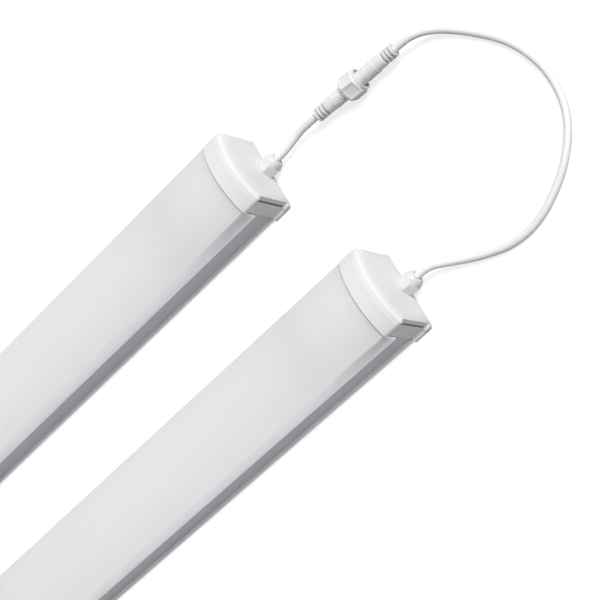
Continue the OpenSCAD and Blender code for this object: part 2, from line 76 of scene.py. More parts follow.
# %% [markdown]
# ## Tools for Geometry Nodes
# A cord is a circle carried along a path, and a row of screws is one screw repeated. Both can be
# drawn by hand, but a node tree says the rule once and takes its sizes as named inputs.
# `new_tree` starts a tree with such inputs, `add` puts a node in it, and `send_out` closes it.
# %% Helpers that build node trees
SOCKETS = {"value": "NodeSocketFloat", "count": "NodeSocketInt", "point": "NodeSocketVector",
           "finish": "NodeSocketMaterial"}


def new_tree(name, **inputs):
    tree = bpy.data.node_groups.new(name, "GeometryNodeTree")
    tree.interface.new_socket("Geometry", in_out="INPUT", socket_type="NodeSocketGeometry")
    for label, kind in inputs.items():
        tree.interface.new_socket(label, in_out="INPUT", socket_type=SOCKETS[kind])
    tree.interface.new_socket("Geometry", in_out="OUTPUT", socket_type="NodeSocketGeometry")
    return tree, tree.nodes.new("NodeGroupInput").outputs, tree.nodes.new("NodeGroupOutput")


def add(tree, kind, links=(), **settings):
    """Adds a node. Settings are its properties; links pair its inputs with sockets or values."""
    node = tree.nodes.new(kind)
    for key, value in settings.items():
        setattr(node, key, value)
    for key, source in dict(links).items():
        if isinstance(source, bpy.types.NodeSocket):
            tree.links.new(source, node.inputs[key])
        else:
            node.inputs[key].default_value = source
    return node


def send_out(tree, geometry, finish, out):
    """Makes the result real, gives it its finish and sends it out of the tree."""
    real = add(tree, "GeometryNodeRealizeInstances", {"Geometry": geometry})
    dressed = add(tree, "GeometryNodeSetMaterial", {"Geometry": real.outputs[0],
                                                    "Material": finish})
    tree.links.new(dressed.outputs[0], out.inputs[0])


print("sockets:", sorted(SOCKETS))

# %% [markdown]
# A tree can stay on its object as a live modifier. Here `grow` runs it once and keeps the plain
# mesh, because a plain mesh is what other programs read. `place` then shades it smooth over its
# curves and sharp at its corners, as a moulding looks.
# %% Helpers that make meshes
SHARP_FROM = math.radians(32)


def mesh_from(name, points, edges=(), faces=()):
    mesh = bpy.data.meshes.new(name)
    mesh.from_pydata([tuple(p) for p in points], list(edges), list(faces))
    mesh.update()
    return mesh


def place(name, mesh):
    """Links a finished mesh as an object at the origin."""
    mesh.name = name
    mesh.shade_smooth()
    mesh.set_sharp_from_angle(angle=SHARP_FROM)
    piece = bpy.data.objects.new(name, mesh)
    bpy.context.collection.objects.link(piece)
    return piece


def grow(name, tree, values, start):
    """Runs a tree once on a start mesh, with values for its inputs by name."""
    holder = bpy.data.objects.new(name + "_holder", start)
    bpy.context.collection.objects.link(holder)
    modifier = holder.modifiers.new("tree", "NODES")
    modifier.node_group = tree
    for item in tree.interface.items_tree:
        if item.in_out == "INPUT" and item.name in values:
            modifier[item.identifier] = values[item.name]
    holder.update_tag()
    ready = holder.evaluated_get(bpy.context.evaluated_depsgraph_get())
    mesh = bpy.data.meshes.new_from_object(ready)
    bpy.data.objects.remove(holder)
    return place(name, mesh)


print("corners sharper than", round(math.degrees(SHARP_FROM)), "degrees stay sharp")

# %% [markdown]
# ## Finishes
# A finish could be painted on a picture, but then each piece would need an unwrapped skin. Noises
# on Object coordinates need none and keep their true scale on every piece. Each finish below
# mixes such noises: one for shade, one for gloss and one for the fine grain.
# %% Nodes that every finish shares
GRAINS_ROUGH, FINE = 0.55, 3.0
NOISE_LOW, NOISE_HIGH = 0.3, 0.7
COLOUR_A, COLOUR_B = 6, 7  # the places of a Mix node's two colours among its inputs


def shader(name):
    """A new material with a Principled surface, and the Object coordinates on it."""
    material = bpy.data.materials.new(name)
    material.use_nodes = True
    tree = material.node_tree
    tree.nodes.clear()
    out = tree.nodes.new("ShaderNodeOutputMaterial")
    surface = tree.nodes.new("ShaderNodeBsdfPrincipled")
    tree.links.new(surface.outputs["BSDF"], out.inputs["Surface"])
    where = tree.nodes.new("ShaderNodeTexCoord").outputs["Object"]
    return material, tree, surface, where


def noise(tree, where, size, detail=2.0, stretch=(1, 1, 1)):
    """A noise whose grains are about size metres across, stretched along the axes."""
    scale = [1 / (size * s) for s in stretch]
    mapping = add(tree, "ShaderNodeMapping", {"Vector": where, "Scale": scale})
    links = {"Vector": mapping.outputs[0], "Scale": 1.0, "Detail": detail,
             "Roughness": GRAINS_ROUGH}
    return add(tree, "ShaderNodeTexNoise", links).outputs["Fac"]


def spread(tree, fac, low, high):
    """Carries the middle of a noise, where most of it lies, to low up to high."""
    links = {"Value": fac, "From Min": NOISE_LOW, "From Max": NOISE_HIGH,
             "To Min": low, "To Max": high}
    return add(tree, "ShaderNodeMapRange", links).outputs["Result"]


def shades(tree, fac, colour, change):
    """Mixes a colour with a slightly darker one by a noise."""
    dark = [c * (1 - change) for c in colour]
    mix = add(tree, "ShaderNodeMix", data_type="RGBA")
    mix.inputs[COLOUR_A].default_value = (*dark, 1)
    mix.inputs[COLOUR_B].default_value = (*colour, 1)
    tree.links.new(fac, mix.inputs[0])
    return mix.outputs[2]


def bumpy(tree, surface, height, strength, depth):
    """Lets a noise raise and lower the surface by depth metres."""
    bump = add(tree, "ShaderNodeBump", {"Height": height, "Strength": strength,
                                        "Distance": depth})
    tree.links.new(bump.outputs[0], surface.inputs["Normal"])


print("grain noises have", FINE, "octaves")

# %% [markdown]
# Moulded plastic is never one flat colour: it has a fine grain, slow changes of gloss and a soft
# sheen on its rounded edges. A little light also goes under the skin of a white plastic, which
# softens its shadows. `moulded` gives each plastic its colour, roughness, grain and depth.
# %% Moulded plastic, rubber and sheath
SHADE_SIZE, SHADE_CHANGE = 24 * MM, 0.035
GLOSS_SIZE, SMOOTHER, ROUGHER = 5 * MM, 0.05, 0.06
GRAIN_STRENGTH, UNDER_SKIN = 0.5, 1.5 * MM


def moulded(name, colour, rough=0.4, grain=0.35 * MM, depth=0.012 * MM, sheen=0.0, deep=0.0):
    """A moulded plastic. Deep is the share of the light that goes under its skin."""
    material, tree, surface, where = shader(name)
    shade = shades(tree, noise(tree, where, SHADE_SIZE), colour, SHADE_CHANGE)
    gloss = spread(tree, noise(tree, where, GLOSS_SIZE), rough - SMOOTHER, rough + ROUGHER)
    tree.links.new(shade, surface.inputs["Base Color"])
    tree.links.new(gloss, surface.inputs["Roughness"])
    bumpy(tree, surface, noise(tree, where, grain, FINE), GRAIN_STRENGTH, depth)
    surface.inputs["Sheen Weight"].default_value = sheen
    surface.inputs["Subsurface Weight"].default_value = deep
    surface.inputs["Subsurface Radius"].default_value = (1.0, 1.0, 1.0)
    surface.inputs["Subsurface Scale"].default_value = UNDER_SKIN
    return material


cap_white = moulded("cap_white", (0.87, 0.87, 0.87), 0.38, deep=0.15)
gland_white = moulded("gland_white", (0.74, 0.74, 0.74), 0.33, 0.25 * MM, deep=0.15)
connector_white = moulded("connector_white", (0.86, 0.86, 0.87), 0.36, 0.25 * MM, deep=0.15)
sheath_white = moulded("sheath_white", (0.9, 0.9, 0.915), 0.42, 0.6 * MM, 0.02 * MM, sheen=0.1)
seal_grey = moulded("seal_grey", (0.27, 0.27, 0.28), 0.6, sheen=0.2)
gasket_grey = moulded("gasket_grey", (0.2, 0.2, 0.205), 0.8, 0.5 * MM, 0.05 * MM)
black_slot_shade = moulded("black_slot_shade", (0.05, 0.05, 0.052), 0.7, 0.5 * MM, 0.03 * MM)
board_white = moulded("board_white", (0.83, 0.84, 0.83), 0.25, 0.2 * MM)
case_grey = moulded("case_grey", (0.68, 0.68, 0.69), 0.5)
block_ivory = moulded("block_ivory", (0.74, 0.71, 0.62), 0.42)
lead_red = moulded("lead_red", (0.34, 0.02, 0.015), 0.4)
wire_black = moulded("wire_black", (0.022, 0.022, 0.026), 0.4)
phosphor_yellow = moulded("phosphor_yellow", (0.9, 0.7, 0.12), 0.3)
print("plastics and rubbers:", len(bpy.data.materials))

# %% [markdown]
# The boots of the connector have deep grooves between their discs. Little light gets out of a
# groove, so shade is painted into the plastic's colour there. The distance from the
# connector's axis says where that is: the cross product of a point's offset from the axis and
# the axis' direction has just that length.
# %% Painted shade in the grooves of the connector's boots
AXIS_FROM, AXIS_TURN = Vector((343.5, 90.5, 13)) * MM, math.radians(-4)
AXIS_ALONG = Vector((math.cos(AXIS_TURN), math.sin(AXIS_TURN), 0))
GROOVE_FLOOR, GROOVE_TOP, GROOVE_SHADE = 4.6, 5.9, 0.7


def parts_of(material):
    """The tree of a finished material, its surface and the Object coordinates on it."""
    tree = material.node_tree
    surface = next(n for n in tree.nodes if n.type == "BSDF_PRINCIPLED")
    where = next(n for n in tree.nodes if n.type == "TEX_COORD").outputs["Object"]
    return tree, surface, where


def ramp(tree, value, start, end, low, high):
    """Low up to start, high from end on, straight between them. Start and end are in mm."""
    links = {"Value": value, "From Min": start * MM, "From Max": end * MM,
             "To Min": low, "To Max": high}
    return add(tree, "ShaderNodeMapRange", links).outputs["Result"]


def vectors(tree, operation, links):
    return add(tree, "ShaderNodeVectorMath", links, operation=operation).outputs


def paint_groove_shade(material):
    """Paints shade into a material's colour near the connector's axis, in the boots' grooves."""
    tree, surface, where = parts_of(material)
    offset = vectors(tree, "SUBTRACT", {0: where, 1: AXIS_FROM})[0]
    across = vectors(tree, "CROSS_PRODUCT", {0: offset, 1: AXIS_ALONG})[0]
    from_axis = vectors(tree, "LENGTH", {0: across})["Value"]
    light = ramp(tree, from_axis, GROOVE_FLOOR, GROOVE_TOP, GROOVE_SHADE, 1)
    colour = surface.inputs["Base Color"]
    shade = vectors(tree, "SCALE", {0: colour.links[0].from_socket, "Scale": light})[0]
    tree.links.new(shade, colour)


# painted shade: the connector's plastic is darker in the grooves of the boots
paint_groove_shade(connector_white)
print("grooves darker within", GROOVE_TOP, "mm of the connector's axis")

# %% [markdown]
# The diffuser is opal polycarbonate. Light goes in through its crown, is thrown about between
# the white board and the shell, and comes out of the skirt again, so its sides are brighter
# than a solid white wall in the same shade. True volume scattering would be slow and noisy in
# so thin a shell. A large share of translucent shading beside a glossy one gives the same look.
# Two places need help. The ends have the cap's tongue close behind them, so less goes through
# there. The skirt's lower edge pipes light, which a painted glow, an emission there, stands for.
# %% Where the opal lets light through
HOME = {"left": Vector((-27.5, 89, 0)) * MM, "right": Vector((27.5, -89, 0)) * MM}
THROUGH, THROUGH_AT_ENDS = 0.8, 0.3
END_FROM, END_TO = 210, 262
CROWN_FROM, CROWN_TO = 44, 49


def maths(tree, operation, *values):
    return add(tree, "ShaderNodeMath", dict(enumerate(values)), operation=operation).outputs[0]


def share_through(tree, place_in, middle):
    """The translucent share, with less of it high up near both ends. Middle is in metres."""
    from_middle = maths(tree, "ABSOLUTE", maths(tree, "SUBTRACT", place_in["X"], middle))
    at_end = maths(tree, "MULTIPLY", ramp(tree, from_middle, END_FROM, END_TO, 0, 1),
                   ramp(tree, place_in["Z"], CROWN_FROM, CROWN_TO, 0, 1))
    links = {"Value": at_end, "To Min": THROUGH, "To Max": THROUGH_AT_ENDS}
    return add(tree, "ShaderNodeMapRange", links).outputs["Result"]


print("opal lets through", THROUGH, "and at its ends", THROUGH_AT_ENDS)

# %% [markdown]
# The die draws the opal out along X, so its three noises are stretched that way: slow clouds of
# tint, changes of gloss and fine lines. One material would do for both fixtures if they lay side
# by side, but they are shifted, and each material knows the middle of its own.
# %% Opal diffuser
OPAL, TINT_CHANGE = (0.915, 0.915, 0.922), 0.015
CLOUDS, CLOUD_STRETCH = 60 * MM, (3, 1, 1)
SHINE, SHINE_STRETCH, SHINE_LOW, SHINE_HIGH = 9 * MM, (4, 1, 1), 0.42, 0.5
LINES, LINE_STRETCH, LINE_STRENGTH, LINE_DEPTH = 0.5 * MM, (8, 1, 1), 0.4, 0.01 * MM
GLOW_FROM, GLOW_TO, EDGE_PAINTED_GLOW = 37.5, 31, 0.45


def opal(name, middle):
    material, tree, surface, where = shader(name)
    clouds = noise(tree, where, CLOUDS, stretch=CLOUD_STRETCH)
    shine = noise(tree, where, SHINE, stretch=SHINE_STRETCH)
    tint = shades(tree, clouds, OPAL, TINT_CHANGE)
    place_in = add(tree, "ShaderNodeSeparateXYZ", {"Vector": where}).outputs
    # painted light: an emission glow on the skirt's lower edge
    edge = ramp(tree, place_in["Z"], GLOW_FROM, GLOW_TO, 0, EDGE_PAINTED_GLOW)
    tree.links.new(tint, surface.inputs["Base Color"])
    tree.links.new(spread(tree, shine, SHINE_LOW, SHINE_HIGH), surface.inputs["Roughness"])
    tree.links.new(edge, surface.inputs["Emission Strength"])
    surface.inputs["Emission Color"].default_value = (1, 1, 1, 1)
    lines = noise(tree, where, LINES, FINE, LINE_STRETCH)
    bumpy(tree, surface, lines, LINE_STRENGTH, LINE_DEPTH)
    share = share_through(tree, place_in, middle)
    through = add(tree, "ShaderNodeBsdfTranslucent", {"Color": tint}).outputs[0]
    both = add(tree, "ShaderNodeMixShader", {0: share, 1: surface.outputs[0], 2: through})
    out = next(n for n in tree.nodes if n.type == "OUTPUT_MATERIAL")
    tree.links.new(both.outputs[0], out.inputs["Surface"])
    return material


opal_white = {side: opal(f"opal_white_{side}", home.x) for side, home in HOME.items()}
print("opals:", [material.name for material in opal_white.values()])

# %% [markdown]
# The base is an aluminium extrusion. The die leaves fine straight lines along it, and the
# anodising makes it a satin grey. A noise stretched forty times along X gives those lines to
# both the bump and the gloss. Anodising is a clear oxide over the metal, so only a part of it
# shines as bare metal does. Screws and contacts are turned or plated, and shine in full.
# %% Metals
MARKS, MARK_DEPTH, MARK_STRENGTH = 0.4 * MM, 0.01 * MM, 0.4
MARK_SHADE, MARK_SMOOTHER, MARK_ROUGHER = 0.1, 0.06, 0.08


def metal(name, colour, rough, stretch=(1, 1, 1), share=1.0):
    """A metal with fine marks. Share is how much of it shines as bare metal does."""
    material, tree, surface, where = shader(name)
    marks = noise(tree, where, MARKS, FINE, stretch)
    gloss = spread(tree, marks, rough - MARK_SMOOTHER, rough + MARK_ROUGHER)
    tree.links.new(shades(tree, marks, colour, MARK_SHADE), surface.inputs["Base Color"])
    tree.links.new(gloss, surface.inputs["Roughness"])
    bumpy(tree, surface, marks, MARK_STRENGTH, MARK_DEPTH)
    surface.inputs["Metallic"].default_value = share
    return material


anodised = metal("anodised", (0.53, 0.53, 0.57), 0.5, stretch=(40, 1, 1), share=0.25)
zinc = metal("zinc", (0.62, 0.63, 0.65), 0.3)
brass = metal("brass", (0.7, 0.5, 0.18), 0.25)
print("metals:", [material.name for material in (anodised, zinc, brass)])

# %% [markdown]
# Below the clip groove, light is painted on the lips at the bottom of the base: the metal's colour
# is brighter there, and more of it shines as bare metal does. The change is by height, and a
# short ramp hides its line in the groove's edge.
# %% Painted light on the lips
LIP_TOP, FADE_UP, FADE_DOWN = 4.5, 0.15, 0.05
LIT_LIP_COLOUR, LIP_SHINE = (0.82, 0.82, 0.84), 0.5


def paint_lip_light(material):
    """Paints light below the lips' top: a brighter colour and more metal there."""
    tree, surface, where = parts_of(material)
    colour, metallic = surface.inputs["Base Color"], surface.inputs["Metallic"]
    height = add(tree, "ShaderNodeSeparateXYZ", {"Vector": where}).outputs["Z"]
    above, below = LIP_TOP + FADE_UP, LIP_TOP - FADE_DOWN
    mix = add(tree, "ShaderNodeMix", data_type="RGBA")
    tree.links.new(colour.links[0].from_socket, mix.inputs[COLOUR_A])
    mix.inputs[COLOUR_B].default_value = (*LIT_LIP_COLOUR, 1)
    tree.links.new(ramp(tree, height, above, below, 0, 1), mix.inputs[0])
    tree.links.new(mix.outputs[2], colour)
    tree.links.new(ramp(tree, height, above, below, metallic.default_value, LIP_SHINE), metallic)


# painted light: the base's lips are brighter below the clip groove
paint_lip_light(anodised)
print("lips polished below", LIP_TOP, "mm")

# %% [markdown]
# ## The free cords
# The two leads are 7 mm round cords. The short one runs from the left gland to the plug, the
# long one from the right gland in a wide loop over the floor to the socket. A cord has to be
# smooth, so a Catmull-Rom curve is drawn through the chosen points. A NURBS curve would pass
# beside them, and a Bezier curve would need handles as well. The points are in mm.
# %% Cord routes
CORD = 7 * MM
CORD_LOWEST = CORD / 2
LEFT_ROUTE = [(287.5, 89, 11), (294.5, 89, 11), (303, 90.2, 10.6), (312, 92, 10.2),
              (322, 92.8, 10.8), (336.517, 90.988, 13), (343.5, 90.5, 13)]
RIGHT_ROUTE = [(342.5, -89, 11), (349.5, -89, 11), (359, -91, 10), (372, -97.5, 7.5),
               (387, -105.5, 5), (403, -113, 3.8), (421, -119.5, 3.5), (440, -121.5, 3.5),
               (458, -118.5, 3.5), (475, -111.5, 3.5), (491, -102, 3.5), (505, -90, 3.5),
               (516.5, -76, 3.5), (524.5, -60, 3.5), (528.5, -42.5, 3.5), (529, -24, 3.5),
               (526, -6, 3.5), (520, 12, 3.5), (511, 29, 3.5), (500, 44.5, 3.5),
               (488.5, 58.5, 4), (476.5, 70.5, 6), (464.5, 78.5, 9.2), (453, 82.3, 12.2),
               (442.458, 83.580, 13), (435.475, 84.068, 13)]


def smooth_route(points, step=2.5 * MM):
    """Points every step along a smooth curve through the chosen ones, never under the floor."""
    p = [Vector(q) * MM for q in points]
    p = [2 * p[0] - p[1]] + p + [2 * p[-1] - p[-2]]
    path = []
    for a, b, c, d in zip(p, p[1:], p[2:], p[3:]):
        parts = max(2, round((c - b).length / step))
        for k in range(parts):
            t = k / parts
            q = 0.5 * (2 * b + (c - a) * t + (2 * a - 5 * b + 4 * c - d) * t ** 2
                       + (3 * b - a - 3 * c + d) * t ** 3)
            path.append(Vector((q.x, q.y, max(q.z, CORD_LOWEST))))
    return path + [p[-2]]


def length_of(path):
    return sum((b - a).length for a, b in zip(path, path[1:]))


left_path, right_path = smooth_route(LEFT_ROUTE), smooth_route(RIGHT_ROUTE)
print("cords in mm:", round(length_of(left_path) / MM), round(length_of(right_path) / MM))

# %% [markdown]
# The tree turns the line of points into a curve, rounds its corners where a bend is asked for,
# gives Curve to Mesh a circle and closes both ends. The ends then meet the gland and the
# connector face to face. A mesh tube keeps its round section in every bend.
# %% A tree that sweeps round things
BEND_STEPS = 5
sweep_tree, ins, out = new_tree("sweep_round", Radius="value", Sides="count", Bend="value",
                                Finish="finish")
line = add(sweep_tree, "GeometryNodeMeshToCurve", {"Mesh": ins["Geometry"]})
bent = add(sweep_tree, "GeometryNodeFilletCurve",
           {"Curve": line.outputs[0], "Count": BEND_STEPS, "Radius": ins["Bend"],
            "Limit Radius": True}, mode="POLY")
circle = add(sweep_tree, "GeometryNodeCurvePrimitiveCircle",
             {"Resolution": ins["Sides"], "Radius": ins["Radius"]})
tube = add(sweep_tree, "GeometryNodeCurveToMesh",
           {"Curve": bent.outputs[0], "Profile Curve": circle.outputs[0], "Fill Caps": True})
send_out(sweep_tree, tube.outputs[0], ins["Finish"], out)


def sweep(name, paths, diameter, material, sides=20, bend=0.0):
    """Round tubes along one or more paths, as one piece."""
    points, edges = [], []
    for path in paths:
        edges += [(len(points) + k, len(points) + k + 1) for k in range(len(path) - 1)]
        points += path
    values = {"Radius": diameter / 2, "Sides": sides, "Bend": bend, "Finish": material}
    return grow(name, sweep_tree, values, mesh_from(name + "_line", points, edges))


left_flex = sweep("left_flex", [left_path], CORD, sheath_white)
right_flex = sweep("right_flex", [right_path], CORD, sheath_white)
for flex, node in ((left_flex, "left_cord"), (right_flex, "right_cord")):
    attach(flex, "fixture_pair")
    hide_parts(node)
    print(flex.name, len(flex.data.polygons), "faces")

# %% [markdown]
# ## Rounded copies of the moulded pieces
# The CAD solids have sharp edges. A real moulding or casting has a small radius on each, and
# it is the line of light on that radius that makes a piece look real. The record says which
# body and which slot each solid has; `dress` hands the body on to the copy that replaces it.
# %% Body and slot of each CAD piece
RECORD = frame["record"]
BODY_OF = {node: body for body, nodes in RECORD["behaviour"]["bodies"].items() for node in nodes}


def dress(piece, node):
    """The piece moves with the node's body and stands for the node, which is hidden."""
    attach(piece, BODY_OF[node])
    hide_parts(node)
    return piece


# %% [markdown]
# A CAD solid comes as loose triangles. `joined` merges them and makes one face of what is flat,
# so that a bevel meets real edges only. Some recesses are cut here and not in CAD: `block` is a
# knife with flat sides, and `carve` takes its shape away with an exact Boolean. Faces could be
# pushed in by hand, but a Boolean surely leaves a closed mesh. `merged` puts meshes together.
# %% Join, cut and merge meshes
MERGE_WITHIN, FLAT_WITHIN = 0.002 * MM, math.radians(0.4)


def joined(mesh):
    """Merges loose triangles and joins what is flat."""
    work = bmesh.new()
    work.from_mesh(mesh)
    bmesh.ops.remove_doubles(work, verts=work.verts, dist=MERGE_WITHIN)
    bmesh.ops.dissolve_limit(work, angle_limit=FLAT_WITHIN, verts=work.verts, edges=work.edges)
    work.to_mesh(mesh)
    work.free()
    return mesh


def block(name, along, across, up):
    """A box between two places on X, Y and Z, in mm."""
    (y0, y1), (z0, z1) = across, up
    points = [Vector((x, y, z)) * MM for x in along
              for y, z in ((y0, z0), (y1, z0), (y1, z1), (y0, z1))]
    sides = [(k, 4 + k, 4 + (k + 1) % 4, (k + 1) % 4) for k in range(4)]
    return mesh_from(name, points, faces=[(0, 1, 2, 3), (7, 6, 5, 4)] + sides)


def carve(mesh, knives):
    """Cuts closed knife meshes out of a closed mesh with exact Booleans."""
    things = []
    for part in [mesh] + knives:
        thing = bpy.data.objects.new("carving", part)
        bpy.context.collection.objects.link(thing)
        things.append(thing)
    for knife in things[1:]:
        work = bmesh.new()
        work.from_mesh(knife.data)
        bmesh.ops.recalc_face_normals(work, faces=work.faces)
        work.to_mesh(knife.data)
        work.free()
        modifier = things[0].modifiers.new("cut", "BOOLEAN")
        modifier.operation, modifier.object, modifier.solver = "DIFFERENCE", knife, "EXACT"
    ready = things[0].evaluated_get(bpy.context.evaluated_depsgraph_get())
    result = bpy.data.meshes.new_from_object(ready)
    for thing in things:
        bpy.data.objects.remove(thing)
    return result


def merged(name, meshes):
    """Several meshes as one, which stay apart in it."""
    work = bmesh.new()
    for mesh in meshes:
        work.from_mesh(mesh)
    result = bpy.data.meshes.new(name)
    work.to_mesh(result)
    work.free()
    return result


print("vertices merge within", MERGE_WITHIN / MM, "mm")

# %% [markdown]
# The end caps are the moulded white ends that seal each batten: a sleeve that carries on the D
# of the diffuser and a domed cover over it. Their radius could be modelled by hand. A Bevel
# modifier on a copy rounds every edge sharper than 30 degrees alike, as a mould maker does.
# %% Round the end caps
SIDES = ("left", "right")
ENDS = {"link": 1, "far": -1}
BEVEL_FROM = math.radians(30)


def rounded(node, radius, material, steps=2, knives=()):
    """A copy of a CAD piece with cuts, if there are any, and with rounded edges."""
    mesh = joined(frame["nodes"][node].data.copy())
    if knives:
        mesh = joined(carve(mesh, knives))
    mesh.materials.clear()
    mesh.materials.append(material)
    piece = place(node + "_round", mesh)
    bevel = piece.modifiers.new("edge radius", "BEVEL")
    bevel.width, bevel.segments = radius, steps
    bevel.limit_method, bevel.angle_limit = "ANGLE", BEVEL_FROM
    bevel.harden_normals = True
    return dress(piece, node)


CAP_PIECES = [f"{side}_{end}_{part}" for side in SIDES for end in ENDS
              for part in ("sleeve", "cover")]
for node in CAP_PIECES:
    rounded(node, 0.4 * MM, cap_white)
print("caps rounded:", len(CAP_PIECES))

# %% [markdown]
# Behind each half of the connector is a boot, a row of discs that lets the cord bend. The plug's
# boot has three open grooves between its discs, which its solid only hints at. Each is cut with
# a ring of square section. A ring is easy to make round the X axis, and one matrix then turns it
# to the connector's own axis.
# %% Rings that cut the grooves of the plug's boot
AXIS_ROTATION = AXIS_ALONG.to_track_quat("X", "Z").to_matrix().to_4x4()
CONNECTOR = Matrix.Translation(AXIS_FROM) @ AXIS_ROTATION
GROOVE_INNER_R, GROOVE_OUTER_R = 4.4, 7.2
GROOVES = [(1.95, 3.95), (5.85, 7.85), (9.75, 11.65)]


def round_x(radius, x, sides):
    """Points of a circle about the X axis, in mm."""
    return [(x, radius * math.cos(a), radius * math.sin(a))
            for a in (2 * math.pi * k / sides for k in range(sides))]


def ring(start, end, sides=64):
    """A ring of square section, start and end being its distances from the plug's cord end."""
    square = [(GROOVE_INNER_R, start), (GROOVE_OUTER_R, start), (GROOVE_OUTER_R, end),
              (GROOVE_INNER_R, end)]
    points = [Vector(p) * MM for corners in zip(*(round_x(r, x, sides) for r, x in square))
              for p in corners]
    faces = []
    for here in range(0, 4 * sides, 4):
        after = (here + 4) % (4 * sides)
        faces += [(here + i, here + (i + 1) % 4, after + (i + 1) % 4, after + i)
                  for i in range(4)]
    mesh = mesh_from("ring", points, faces=faces)
    mesh.transform(CONNECTOR)
    return mesh


print("grooves in the plug's boot:", len(GROOVES))

# %% [markdown]
# The coupling nut is turned by hand, and each of its six flats has a shallow panel for the
# fingers. Its knife is a block that stands on the flat and reaches half a millimetre into it.
# %% Knives for the grip panels of the coupling nut
PANEL_FROM, PANEL_TO, PANEL_HALF, PANEL_DEPTH = 37, 47.8, 5, 0.5
FLATS, FLAT_R, FIRST_FLAT = 6, 11, 46
KNIFE_OVER = 2


def panel_knives():
    knives = []
    for k in range(FLATS):
        turn = Matrix.Rotation(math.radians(FIRST_FLAT + 360 / FLATS * k), 4, "X")
        knife = block("panel", (PANEL_FROM, PANEL_TO), (-PANEL_HALF, PANEL_HALF),
                      (PANEL_DEPTH - FLAT_R, -FLAT_R - KNIFE_OVER))
        knife.transform(CONNECTOR @ turn)
        knives.append(knife)
    return knives


print("panels in the coupling nut:", FLATS)

# %% [markdown]
# The gland nuts, the coupling nut and the two halves of the connector are turned and hexagonal
# mouldings. The same rounding serves them, with a smaller radius where the ribs are fine. The
# base profile, the driver and the terminal blocks get theirs too: the extrusion's edges are
# nearly sharp, and the driver's case has the softest.
# %% Round the glands, the connector and the inner pieces
NUTS = [f"{side}_{end}_gland_nut" for side in SIDES for end in ENDS]
for node in NUTS:
    rounded(node, 0.35 * MM, gland_white, steps=3)
coupling = rounded("coupling_nut", 0.2 * MM, connector_white, steps=3, knives=panel_knives())
plug = rounded("plug_body", 0.17 * MM, connector_white,
               knives=[ring(start, end) for start, end in GROOVES])
socket = rounded("socket_body", 0.17 * MM, connector_white)
for side in SIDES:
    rounded(f"{side}_base_profile", 0.2 * MM, anodised)
    rounded(f"{side}_driver", 0.8 * MM, case_grey, steps=3)
    for end in ENDS:
        rounded(f"{side}_{end}_terminal", 0.3 * MM, block_ivory)
print("nuts rounded:", len(NUTS) + 1)

# %% [markdown]
# ## The diffuser
# The diffuser is extruded: one D-shaped section runs the whole length. A section is a closed
# outline in Y and Z, so it is written as points, and a node tree carries it along a line. The
# CAD's arcs are flats of two millimetres; these are much finer, so the long highlight on the
# crown runs smoothly. The skirt ends in a hook that holds on to the base.
# %% The outline of the diffuser
HALF_WIDTH, CROWN_R, CROWN_Z = 40, 66.01, -3.51
SHOULDER_R, SHOULDER_R_INSIDE = 4, 1
CAP_STEP, WALL = 0.8, 1.8
SKIRT_Z, HOOK_Z, HOOK_T, HOOK_L = 30, 31.3, 1.1, 2
SHOULDER_STEPS, CROWN_STEPS = 10, 40


def arc(y, z, radius, start, end, steps):
    """Points of an arc about (y, z), from one angle to another."""
    return [(y + radius * math.cos(a), z + radius * math.sin(a))
            for a in (start + (end - start) * k / steps for k in range(steps + 1))]


def half_outline(inset):
    """The D from the top of the +Y skirt over the shoulder to the middle of the crown."""
    r, shoulder_r = CROWN_R - inset, max(SHOULDER_R - inset, SHOULDER_R_INSIDE)
    y = HALF_WIDTH - inset - shoulder_r
    z = CROWN_Z + math.sqrt((r - shoulder_r) ** 2 - y ** 2)
    lean = math.atan2(z - CROWN_Z, y)
    shoulder = arc(y, z, shoulder_r, 0, lean, SHOULDER_STEPS)
    return shoulder + arc(0, CROWN_Z, r, lean, math.pi / 2, CROWN_STEPS)[1:]


def other_side(points):
    """The same points at -Y, in the other order."""
    return [(-y, z) for y, z in reversed(points)]


outer, inner = half_outline(CAP_STEP), half_outline(CAP_STEP + WALL)
outer_y, inner_y = HALF_WIDTH - CAP_STEP, HALF_WIDTH - CAP_STEP - WALL
hook_y, hook_top = inner_y - HOOK_L, HOOK_Z + HOOK_T
right_half = [(inner_y, SKIRT_Z), (outer_y, SKIRT_Z)] + outer
hook = [(inner_y, hook_top), (hook_y, hook_top), (hook_y, HOOK_Z), (inner_y, HOOK_Z)]
over = right_half + other_side(right_half[:-1])
under = other_side(hook) + [(-y, z) for y, z in inner[:-1]] + inner[::-1] + hook
print("points in the outline:", len(over + under))

# %% [markdown]
# No extrusion has a knife's edge. `softened` puts a small arc on each corner of the outline that
# turns by more than 30 degrees, so the edges are round before the section is carried along.
# %% Soften the outline's corners
CORNER_R, CORNER_STEPS = 0.35, 4
CORNER_FROM, MOST_OF_SIDE = math.radians(30), 0.45


def softened(outline):
    result = []
    for k, b in enumerate(outline):
        u, v = (outline[k - 1] - b), (outline[(k + 1) % len(outline)] - b)
        half = u.angle(v) / 2
        if half > (math.pi - CORNER_FROM) / 2:
            result.append(b)
            continue
        cut = min(CORNER_R / math.tan(half), MOST_OF_SIDE * u.length, MOST_OF_SIDE * v.length)
        centre = b + (u.normalized() + v.normalized()).normalized() * (cut / math.cos(half))
        first, last = b + u.normalized() * cut - centre, b + v.normalized() * cut - centre
        for i in range(CORNER_STEPS + 1):
            spoke = first.lerp(last, i / CORNER_STEPS).normalized() * first.length
            result.append(centre + spoke)
    return result


section = softened([Vector(p) for p in over + under])
print("points in the section:", len(section))

